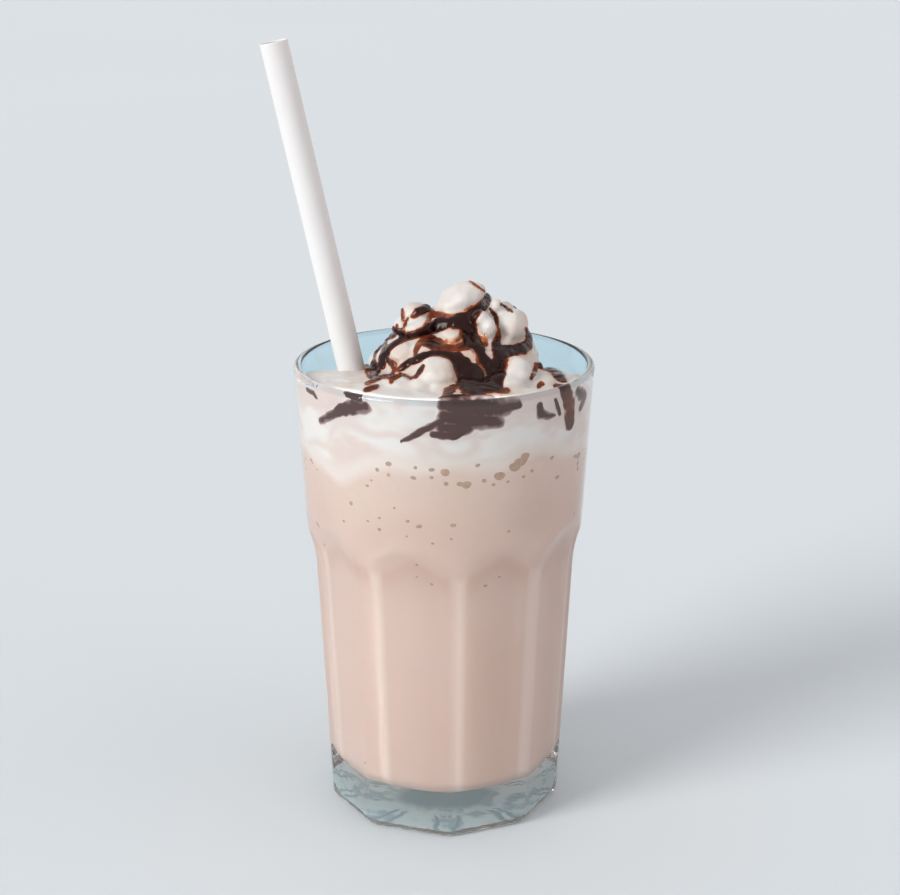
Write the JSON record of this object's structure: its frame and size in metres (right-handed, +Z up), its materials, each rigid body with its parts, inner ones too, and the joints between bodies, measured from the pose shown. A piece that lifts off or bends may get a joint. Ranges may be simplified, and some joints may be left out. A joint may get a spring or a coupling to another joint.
{
  "type": "milkshake",
  "caption": "Milkshake in a tall panelled glass tumbler, topped with a heap of whipped cream under chocolate drizzle, with a drinking straw leaning out.",
  "frame": {"origin": "the middle of the glass's foot, on the surface it stands on", "axes": "+Z up, the front faces -Y, and the straw leans towards -X"},
  "size_m": [0.0962, 0.089, 0.233],
  "materials": {
    "glass": "clear, faintly blue pressed glass, polished",
    "drink": "smooth, pale pinkish-beige milkshake with fine bubbles at its top",
    "cream": "soft whipped cream with glossy dark chocolate sauce",
    "sauce": "glossy dark chocolate sauce, brown where it is thin",
    "straw": "matte white paper"
  },
  "bodies": {
    "root": {"glass": "glass", "drink": "drink", "cream": "cream", "straw": "straw"}
  },
  "joints": []
}
